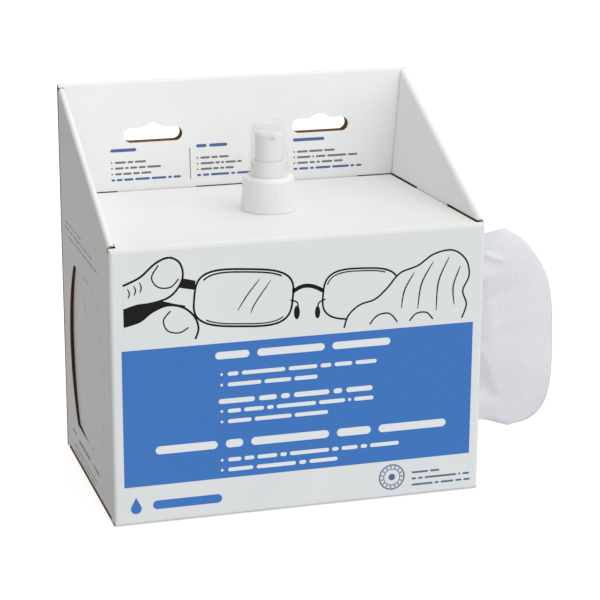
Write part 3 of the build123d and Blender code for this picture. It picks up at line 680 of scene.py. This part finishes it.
small = Print(on_front)
small.words(67, 84, 14.5, 1.15, L1, (7, 4))
small.words(67, 102.5, 10.7, 1.15, L1, (2, 2, 14, 1, 3))
small.words(67, 103, 6.9, 1.15, L1, (10, 2, 6, 3, 3))
seal_a, seal_b = 54.9, 13
small.stroke(superellipse(seal_a, seal_b, 7.4, 7.4, 2), 0.8, L1, closed=True)
small.stroke(superellipse(seal_a, seal_b, 4.9, 4.9, 2), 0.55, L1, closed=True)
small.loop(superellipse(seal_a, seal_b, 2.0, 2.0, 2), L1)
for k in range(15):
    t = math.radians(24 * k)
    small.stroke([(seal_a + r * math.cos(t), seal_b + r * math.sin(t)) for r in (5.5, 6.6)], 0.8, L1)
small.make("print_front_small", SLATE, "station")

# A plain drawing of spectacles being wiped, in the builder's own outline
art = Print(on_front)
near_lens, far_lens = (-33, 127.5), (34.5, 124.5)
lens = [(near_lens[0] + a + b * 0.10, near_lens[1] + b - a * 0.085)
        for a, b in superellipse(0, 0, 28.0, 16.2, 3.4)]
rest = [(far_lens[0] + a + b * 0.08, far_lens[1] + b - a * 0.05)
        for a, b in superellipse(0, 0, 22.0, 14.6, 3.2)]
art.stroke(lens, 1.15, L1, closed=True)
art.stroke(rest, 1.05, L1, closed=True)
art.stroke(drawn_again(lens[10:31], near_lens, 0.93, 0.9, 0.2), 0.9, L1)
art.stroke(drawn_again(lens[46:66], near_lens, 0.94, 0.91, 0.2), 0.7, L1)
art.stroke(drawn_again(rest[12:34], far_lens, 0.93, 0.9), 0.7, L1)
art.stroke(curve([(-5.2, 128.8), (0.5, 131.4), (6.5, 131.0), (12.6, 128.0)]), 2.3, L1)
art.stroke(curve([(-6.4, 124.0), (-2.6, 122.6), (-1.8, 119.6)]), 0.8, L1)
art.stroke(curve([(14.0, 123.0), (10.4, 121.4), (9.4, 118.8)]), 0.8, L1)
art.loop(superellipse(-2.6, 116.6, 1.7, 3.9, 2), L1)
art.loop(superellipse(9.4, 115.8, 1.5, 3.6, 2), L1)
art.loop([(-60.6, 134.2), (-60.2, 139.4), (-72.6, 142.6), (-73.4, 137.0)], L1)
art.stroke(curve([(-24, 137.5), (-31, 129), (-36.5, 120.5)]), 0.7, L1, taper=True)
art.stroke(curve([(-17.5, 136.5), (-26.5, 124), (-29, 118.5)]), 0.7, L1, taper=True)
arm = curve([(-100.5, 127.4), (-90, 130.4), (-80.5, 129.6), (-72, 127.2), (-66, 125.2),
             (-72.5, 121.6), (-83, 118.6), (-92, 115.4), (-100.5, 114.2)])
art.loop(arm[::-1], L1)
art.make("print_art_frame", BLACK, "station")

cover = Print(on_front)
hand_top = curve([(-100.5, 139.5), (-91, 143.6), (-82.6, 150.6), (-75.2, 153.4), (-69.4, 150.6),
                  (-67.2, 143.8), (-69.4, 137.0), (-75.2, 131.2), (-84.5, 128.6), (-93, 127.9),
                  (-100.5, 125.8)])
hand_low = curve([(-100.5, 116.5), (-91.5, 118.8), (-84.6, 123.6), (-76, 126.6), (-67.4, 124.8),
                  (-61.2, 119.4), (-58.8, 112.4), (-60.6, 106.2)])
cloth = curve([(25, 105.4), (27.5, 112.5), (34, 118.0), (43, 120.6), (50, 126.5), (57.5, 134.6),
               (68, 138.2), (77.5, 144.2), (88.5, 145.6), (96.4, 139.8), (98.8, 130.4), (95.2, 121.6),
               (97.6, 113.4), (95.0, 105.4)])
cover.loop(hand_top[::-1], L2)
cover.loop([(-100.5, 106.2)] + hand_low[::-1], L2)
cover.loop(cloth[::-1], L2)
cover.make("print_art_cover", BOARD_WHITE, "station")

over = Print(on_front)
over.stroke(hand_top, 1.15, L3)
over.stroke(hand_low, 1.15, L3)
over.stroke(cloth, 0.95, L3)
fingers = [[(-80.8, 149.6), (-84.6, 143.0), (-81.2, 137.4), (-74.2, 136.8), (-69.6, 141.2)],
           [(-74.4, 123.4), (-78.4, 118.2), (-76.0, 112.2), (-69.6, 110.6), (-64.4, 113.2)]]
cloth_folds = [[(86.5, 141.8), (80.5, 128), (79.5, 111)], [(77.2, 140.0), (70.4, 127.5), (68.4, 113)],
               [(66.0, 134.4), (60.4, 124.6), (58.6, 114)], [(93.4, 136), (89.4, 124.6), (90.2, 113.6)]]
cloth_hems = [[(40, 106.2), (44.6, 111.0), (51.5, 111.6), (56.4, 106.2)],
              [(63.6, 106.2), (67.6, 110.2), (73.6, 110.4), (77.6, 106.2)]]
for points in fingers:
    over.stroke(curve(points), 0.8, L3)
for shift in (0, 3.4, 6.6):
    over.stroke(curve([(-98 + shift, 137.6 + shift * 0.5), (-97 + shift, 134.8 + shift * 0.45),
                       (-97.8 + shift, 132.2 + shift * 0.4)]), 0.75, L3, taper=True)
for points in cloth_folds:
    over.stroke(curve(points), 0.85, L3, taper=True)
for points in cloth_hems:
    over.stroke(curve(points), 0.85, L3)
over.make("print_art_lines", BLACK, "station")

# ---------------------------------------------------------------- print on the back liner
heads = Print(on_back_liner)
heads.words(-78.4, -62.6, 184.4, 1.9, L1, (10,))
heads.words(-26, -6.6, 184.4, 1.9, L1, (4, 7))
heads.words(34.5, 54.5, 184.4, 1.9, L1, (13,))
heads.words(-78.4, -36, 166.9, 1.35, L1, (2, 3, 5, 8, 8, 2, 4))
heads.words(-26, 9, 166.9, 1.35, L1, (2, 3, 9, 2, 8))
heads.words(34.5, 78, 166.9, 1.35, L1, (2, 5, 2, 8, 9, 2, 3))
heads.make("print_back_heads", NAVY, "station")

# Each column's left end, then each of its lines: its right end and its words' shares
columns = ((-78.4, ((-57, (6, 3, 6)), (-48, (5, 2, 4, 4, 8)), (-54, (4, 5, 4, 6)))),
           (-26, ((-6, (6, 4, 6)), (2, (9, 3, 2, 7, 3)), (-3, (8, 4, 3, 6)))),
           (34.5, ((61, (7, 9, 7)), (75.5, (7, 1, 5, 10, 5)), (66, (6, 3, 2, 6, 5)))))
steps = Print(on_back_liner)
for a0, rows in columns:
    for row, (a1, counts) in enumerate(rows):
        b = 177.2 - 3.4 * row
        steps.bar(a0, a0 + 1.1, b, 1.1, L1)
        steps.words(a0 + 2.4, a1, b, 1.25, L1, counts)
steps.loop([(-30.25, 164.7), (-29.75, 164.7), (-29.75, 183.6), (-30.25, 183.6)], L1)
steps.make("print_back_steps", GREY, "station")

# ---------------------------------------------------------------- print on the left side
side = Print(on_left)
side.words(-54, -8, 146.2, 1.2, L1, (5, 7, 3, 6))
side.words(-57, 24, 142.6, 1.2, L1, (7, 4, 9, 2, 7, 5))
side.words(-44, 37, 138.6, 1.2, L1, (6, 3, 8, 5, 9, 4))
side.words(-44, 22, 9.2, 1.1, L1, (5, 8, 3, 6, 7))
side.words(-44, 18, 5.8, 1.1, L1, (7, 3, 9, 6))
side.make("print_left_small", PALE_GREY, "station")
side_mark = Print(on_left)
side_mark.bar(-48, -37, 17.6, 1.7, L1)
side_mark.bar(-30, 4, 16.4, 2.6, L1)
side_mark.bar(13, 30, 16.4, 1.8, L1)
side_mark.make("print_left_mark", HAZE, "station")


# ---------------------------------------------------------------- the pump's spring
def make_spring():
    """The return spring, its turns closer together near the ends."""
    low, high = (Vector(corner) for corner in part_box("return_spring"))
    wire = 0.0004    # half the wire's thickness
    middle = (low + high) / 2
    tall = high.z - low.z
    radius = (high.x - low.x) / 2 - wire
    z0, rise = low.z + wire, tall - 2 * wire
    turns, steps_a_turn, ring = 7, 48, 10
    count = turns * steps_a_turn
    spine = []
    for i in range(count + 1):
        t = i / count
        ang = 2 * math.pi * turns * t
        lift = rise * (t + 0.045 * math.sin(2 * math.pi * t))
        around = Vector((radius * math.cos(ang), radius * math.sin(ang), 0))
        spine.append(Vector((middle.x, middle.y, z0 + lift)) + around)
    verts = []
    for i, point in enumerate(spine):
        ahead = (spine[min(i + 1, count)] - spine[max(i - 1, 0)]).normalized()
        out = Vector((point.x - middle.x, point.y - middle.y, 0)).normalized()
        up = ahead.cross(out).normalized()
        for k in range(ring):
            a = 2 * math.pi * k / ring
            verts.append(point + out * (wire * math.cos(a)) + up * (wire * math.sin(a)))
    faces = tube_faces(count, ring)
    obj = mesh_piece("spring_coil", verts, faces, STEEL, "pump_engine", smooth=True)
    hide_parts("return_spring")
    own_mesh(obj)


make_spring()


# ---------------------------------------------------------------- folds and the tear-out's crease
def crushed_fold(name, body):
    """The coating raised over the crushed flutes along the deck's front bend."""
    slant = math.radians(48)
    out = Vector((0, -math.cos(slant), math.sin(slant)))
    across = Vector((0, math.sin(slant), math.cos(slant)))
    centre = Vector((0, -HALF_D + BEND, DECK - BEND)) + out * BEND
    verts = []
    count, ring = 420, 7
    half_length = 0.1055
    inset = 0.00001    # keeps the strip's edges just under the board
    for i in range(count + 1):
        x = half_length * (2 * i / count - 1)
        swell = abs(math.cos(math.pi * x / FLUTE + 0.8 * noise.noise(Vector((x * 90, 3, 1)))))
        wide = 0.00045 + 0.00035 * swell
        high = 0.00006 + 0.00013 * swell * (0.8 + 0.4 * noise.noise(Vector((x * 150, 9, 2))))
        if i in (0, count):
            high = 0.00002
        here = centre + Vector((x, 0, 0))
        for k in range(ring):
            t = -1 + 2 * k / (ring - 1)
            sunk = BEND - math.sqrt(BEND ** 2 - (wide * t) ** 2) + inset
            verts.append(here + across * (wide * t) + out * (high * (1 - t * t) - sunk))
        for t in (0.6, -0.6):
            verts.append(here + across * (wide * t) - out * 0.0003)
    mesh_piece(name, verts, tube_faces(count, ring + 2), COAT_X, body, smooth=True)


crushed_fold("fold_crushed", "station")


def crease_strip(name, z0, z1):
    """The skin of board left whole along the middle crease of the tear-out."""
    verts = []
    rings = 24
    outline = [(0.00006, -0.0007), (0.00006, 0.0007), (0.00001, 0.0009), (-0.00005, 0.0006),
               (-0.00010, 0.0002), (-0.00010, -0.0002), (-0.00005, -0.0006), (0.00001, -0.0009)]
    for i in range(rings + 1):
        z = z0 + (z1 - z0) * i / rings
        for dx, dy in outline:
            verts.append(Vector((-HALF_W + dx, dy, z)))
    obj = mesh_piece(name, verts, tube_faces(rings, len(outline)), COAT_Y, None, smooth=True)
    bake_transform(obj)


crease_strip("crease_low", 0.0264, 0.0365)
crease_strip("crease_mid", 0.0405, 0.1045)
crease_strip("crease_high", 0.1145, 0.1248)

# The front half of the tear-out is still held by the skin over its perforation. In millimetres:
# how far its bowed side reaches, half its height, its middle's height and the bow's radius
TEAR_Y, TEAR_Z, TEAR_MID, TEAR_BOW = 49.0, 49.6, 75.6, 79.0
arc = []
for k in range(25):
    b = -TEAR_Z + 2 * TEAR_Z * k / 24
    arc.append((math.sqrt(TEAR_BOW ** 2 - b * b) - (TEAR_BOW - TEAR_Y), TEAR_MID + b))
arc_end = int(arc[0][0])
path = [(a, arc[0][1]) for a in range(2, arc_end - 2, 3)] + arc
path += [(a, arc[-1][1]) for a in range(arc_end - 3, 1, -3)]
skin = Print(on_left)
for k in range(0, len(path) - 3, 4):
    skin.stroke(path[k:k + 4], 1.0, L1)
skin.make("tearout_skin", COAT_Y, "station")

# ---------------------------------------------------------------- the tissue stacks
def make_stack(name, node, seed, body):
    """Interfolded tissues: one closed leaf after another, each narrowing towards its two ends."""
    low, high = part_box(node)
    rng = random.Random(seed)
    leaves = 46
    pitch = (high.x - low.x) / leaves
    verts, faces = [], []
    rows = 14
    mid = (low + high) / 2
    half_y, half_z = (high.y - low.y) / 2, (high.z - low.z) / 2
    for leaf in range(leaves):
        x0 = low.x + pitch * (leaf + 0.5)
        reach = half_y - rng.uniform(0.0000, 0.0013)
        tall = half_z - rng.uniform(0.0000, 0.0012)
        slide = rng.uniform(-0.0004, 0.0004)
        thick = pitch * 0.47    # half the leaf's thickness
        outline = []
        for sign in (1, -1):
            for k in range(-5, 6):
                outline.append((sign * thick, sign * reach * 0.96 * k / 5))
            outline.append((sign * thick * 0.62, sign * reach * 0.995))
            outline.append((-sign * thick * 0.62, sign * reach * 0.995))
        start = len(verts)
        for i in range(rows + 1):
            z = mid.z + tall * (2 * i / rows - 1)
            for dx, dy in outline:
                y = mid.y + dy + slide * math.sin(3 * i / rows)
                wave = 0.0006 * noise.noise(Vector((y * 28, z * 24, seed)))
                edge = 0.0003 * noise.noise(Vector((y * 90, z * 90, leaf * 0.35)))
                fade = min(1, (x0 - low.x) / 0.004, (high.x - x0) / 0.004)
                verts.append(Vector((x0 + dx + wave * fade + edge * 0.3 * fade, y, z + edge * fade)))
        faces += tube_faces(rows, len(outline), start)
    obj = mesh_piece(name, verts, faces, TISSUE, body, smooth=True)
    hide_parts(node)


make_stack("stack_left", "left_tissue_stack", 3, "station")
make_stack("stack_right", "right_tissue_stack", 8, "station")


# ---------------------------------------------------------------- the tissue drawn halfway out
def smooth_step(t):
    t = min(1, max(0, t))
    return t * t * (3 - 2 * t)


def read_smoothly(values, t):
    """A smooth curve through evenly spaced values, read at t from 0 to 1."""
    last = len(values) - 1
    i = min(int(t * last), last - 1)
    return blend_four(values[max(i - 1, 0)], values[i], values[i + 1], values[min(i + 2, last)], t * last - i)


# The sheet's outer fold from its lower end to its upper one, in millimetres: how far out from the
# side of the carton it is, and how high
FOLD_X = [48.0, 58.0, 66.0, 71.5, 74.0, 74.7, 74.5, 74.0, 72.4, 69.3, 63.0, 53.0, 41.0]
FOLD_Z = [11.0, 12.2, 16.6, 24.5, 36.0, 50.5, 65.5, 79.5, 92.5, 104.8, 116.8, 128.8, 137.2]
# Soft creases in the front layer: two ends as (x, z), half width and height, in millimetres
CREASES = [((137, 108), (143, 52), 6.0, 1.0),
           ((136.5, 121.5), (146, 118), 1.7, 0.9),
           ((135.5, 61), (146.5, 35), 3.0, 0.7)]


def near(x, z, a, b, wide):
    """How close a point is to the line between two places, from 0 far off to 1 on it."""
    run = (b[0] - a[0], b[1] - a[1])
    t = ((x - a[0]) * run[0] + (z - a[1]) * run[1]) / (run[0] ** 2 + run[1] ** 2)
    t = min(1, max(0, t))
    return math.exp(-((x - a[0] - run[0] * t) ** 2 + (z - a[1] - run[1] * t) ** 2) / wide ** 2)


def make_tissue():
    """Two layers of one sheet, from inside the carton, out through the side and round the fold."""
    across, along = 130, 180
    inside = 0.24               # the share of each layer that is still in the carton
    middle_z, height = 75.6, 95.5
    fan_x, fan_z = 82, 75       # the ridges spread from this point
    grid = []
    for i in range(along + 1):
        w = 2 * i / along - 1
        layer = -1 if w < 0 else 1
        u = 1 - abs(w)
        row = []
        for j in range(across + 1):
            v = j / across
            z_in = middle_z + (v - 0.5) * height
            gather = 1.5 * math.sin(v * 29 + 0.8) + 1.0 * math.sin(v * 51 + 2.1)
            if u < inside:
                t = u / inside
                bend = smooth_step(t * 1.05)
                x = 100.0 + 8.0 * smooth_step((t - 0.35) / 0.65)
                y = layer * (13.8 * (1 - bend) ** 1.3 + 1.5) + gather * 0.45 * t
                z = z_in
            else:
                t = (u - inside) / (1 - inside)
                x = HALF_W / MM + read_smoothly(FOLD_X, v) * t
                rise = read_smoothly(FOLD_Z, v) - z_in
                z = z_in + rise * t ** (0.72 - 0.27 * smooth_step(2 * v - 1))
                bulge = 0.1 + 0.9 * math.sin(math.pi * v) ** 0.7
                belly = 1.0 + 2.4 * math.sin(math.pi * min(1, t * 0.92)) * bulge
                apart = math.sqrt(max(0.0, 1 - t ** 8))
                y = layer * belly * apart + gather * 0.45 * (1 - t) ** 2
                ang = math.atan2(z - fan_z, x - fan_x)
                rad = math.hypot(z - fan_z, x - fan_x) / 60
                shape = Vector((ang * 2.6 + 4, rad * 0.6, 0))
                own = noise.noise(shape + Vector((0, 0, layer * 1.3)))
                shared = noise.noise(shape + Vector((0, 0, 6.1)))
                fine = noise.noise(Vector((ang * 6.5, rad * 1.4, 5 + layer)))
                ridge = 1 - 2 * abs(own) ** 0.7
                fade = 0.45 + 0.55 * math.sin(math.pi * min(1, t + 0.1))
                y += apart * (0.7 * ridge + 0.5 * fine) * fade
                y += 1.7 * shared * smooth_step(t * 1.3)
                if layer < 0:
                    y -= apart * sum(high * near(x, z, a, b, reach) for a, b, reach, high in CREASES)
                rim = (2 * abs(v - 0.5)) ** 8
                y += rim * 1.3 * math.sin(x * 0.19 + layer * 1.1 + 4 * v) * apart
                tucked = 1.6 * apart * t * (2 * v - 1) if layer > 0 else 0
                z += rim * (0.6 * math.sin(x * 0.24 + 0.8 * layer) * t - tucked)
            row.append(Vector((x, y, z)) * MM)
        grid.append(row)
    n = across + 1
    normals = []
    for i in range(along + 1):
        for j in range(n):
            a = grid[min(i + 1, along)][j] - grid[max(i - 1, 0)][j]
            b = grid[i][min(j + 1, across)] - grid[i][max(j - 1, 0)]
            normals.append(a.cross(b).normalized())
    flat = [point for row in grid for point in row]
    half = 0.00012              # half the sheet's thickness, in metres
    verts = [point + normal * half for point, normal in zip(flat, normals)]
    verts += [point - normal * half for point, normal in zip(flat, normals)]
    shift = len(flat)
    faces = []
    for i in range(along):
        for j in range(across):
            a = i * n + j
            faces.append([a, a + n, a + n + 1, a + 1])
            faces.append([shift + a + 1, shift + a + n + 1, shift + a + n, shift + a])
    border = list(range(n)) + [i * n + across for i in range(1, along + 1)]
    border += [along * n + j for j in reversed(range(across))] + [i * n for i in reversed(range(1, along))]
    for k, a in enumerate(border):
        b = border[(k + 1) % len(border)]
        faces.append([a, b, shift + b, shift + a])
    obj = mesh_piece("tissue_sheet", verts, faces, TISSUE, "drawn_tissue", smooth=True)
    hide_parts("pulled_tissue")


make_tissue()


# ---------------------------------------------------------------- floor, light and camera
floor_half, floor_z = 9, -0.0004
corners = [(x * floor_half, y * floor_half, floor_z) for x, y in ((-1, -1), (1, -1), (1, 1), (-1, 1))]
floor_mesh = bpy.data.meshes.new("floor")
floor_mesh.from_pydata(corners, [], [(0, 1, 2, 3)])
floor = bpy.data.objects.new("floor", floor_mesh)
scene.collection.objects.link(floor)
floor_mat, _, floor_bsdf = material("pale_floor")
floor_bsdf.inputs["Base Color"].default_value = (0.52, 0.52, 0.52, 1)
floor_bsdf.inputs["Roughness"].default_value = 0.9
floor_bsdf.inputs["Specular IOR Level"].default_value = 0.1
floor_bsdf.inputs["Emission Color"].default_value = (1, 1, 1, 1)
floor_bsdf.inputs["Emission Strength"].default_value = 0.75
floor_mesh.materials.append(floor_mat)
floor.visible_diffuse = False

world = bpy.data.worlds.new("studio")
scene.world = world
world.use_nodes = True
wt = world.node_tree
background = wt.nodes["Background"]
coords = add(wt, "ShaderNodeTexCoord")
parts = add(wt, "ShaderNodeSeparateXYZ")
join(wt, coords, "Generated", parts, 0)
# The upper half is brighter to the right, the front and the top, and the lower half to the front
pull = add(wt, "ShaderNodeVectorMath", operation="DOT_PRODUCT")
pull.inputs[1].default_value = (0.49, -0.20, 0.12)
join(wt, coords, "Generated", pull, 0)
above = math_node(wt, "ADD", (pull, "Value"), value=0.76)
above = math_node(wt, "MAXIMUM", (above, 0), value=0.05)
ahead = math_node(wt, "MULTIPLY", (parts, "Y"), value=-1)
ahead = math_node(wt, "MAXIMUM", (ahead, 0), value=0)
ahead = math_node(wt, "POWER", (ahead, 0), value=4)
below = math_node(wt, "MULTIPLY", (ahead, 0), value=2.05)
below = math_node(wt, "ADD", (below, 0), value=0.06)
# The horizon, softened: 0 below it and 1 above it
edge = math_node(wt, "MULTIPLY", (parts, "Z"), value=6)
edge = math_node(wt, "ADD", (edge, 0), value=0.5)
edge.use_clamp = True
span = math_node(wt, "SUBTRACT", (above, 0), (below, 0))
span = math_node(wt, "MULTIPLY", (span, 0), (edge, 0))
level = math_node(wt, "ADD", (below, 0), (span, 0))
leftward = math_node(wt, "MULTIPLY", (parts, "X"), value=-1)
leftward = math_node(wt, "MAXIMUM", (leftward, 0), value=0)
# The upper half is warmer to the left, and the lower half is cooler all over
upper = colour_mix(wt, (leftward, 0), (1.0, 0.992, 0.965), (1.0, 0.945, 0.885))
tone = colour_mix(wt, (edge, 0), (0.94, 1.0, 1.06), (upper, MIX_RESULT))
# The camera itself sees plain white
seen = add(wt, "ShaderNodeLightPath")
shown = colour_mix(wt, (seen, "Is Camera Ray"), (tone, MIX_RESULT), (1, 1, 1))
join(wt, shown, MIX_RESULT, background, "Color")
strength = add(wt, "ShaderNodeMix", data_type="FLOAT")
strength.inputs[3].default_value = 1.0
join(wt, seen, "Is Camera Ray", strength, 0)
join(wt, level, 0, strength, 2)
join(wt, strength, 0, background, "Strength")


def area(name, place, at, size, power):
    data = bpy.data.lights.new(name, "AREA")
    data.shape = "RECTANGLE"
    data.size, data.size_y = size
    data.energy = power
    lamp = bpy.data.objects.new(name, data)
    scene.collection.objects.link(lamp)
    lamp.location = place
    lamp.rotation_euler = (Vector(at) - Vector(place)).to_track_quat("-Z", "Y").to_euler()


area("key", (0.7, -0.9, 1.5), (0, 0, 0.1), (0.9, 0.9), 2.4)
area("overhead", (-0.01, -0.005, 0.62), (-0.01, -0.005, 0.1), (0.18, 0.11), 0.34)

azimuth, elevation = math.radians(-16.0), math.radians(17.45)
level_share = math.cos(elevation)
back = Vector((math.sin(azimuth) * level_share, -math.cos(azimuth) * level_share, math.sin(elevation)))
cam_data = bpy.data.cameras.new("camera")
cam_data.sensor_width = 36.0
cam_data.lens = 125.24
cam_data.shift_x = 0.056
cam_data.shift_y = 0.065
cam_data.clip_start, cam_data.clip_end = 0.05, 30
camera = bpy.data.objects.new("camera", cam_data)
scene.collection.objects.link(camera)
camera.location = (-0.3237, -1.1286, 0.4489)
camera.rotation_euler = (-back).to_track_quat("-Z", "Y").to_euler()
scene.camera = camera
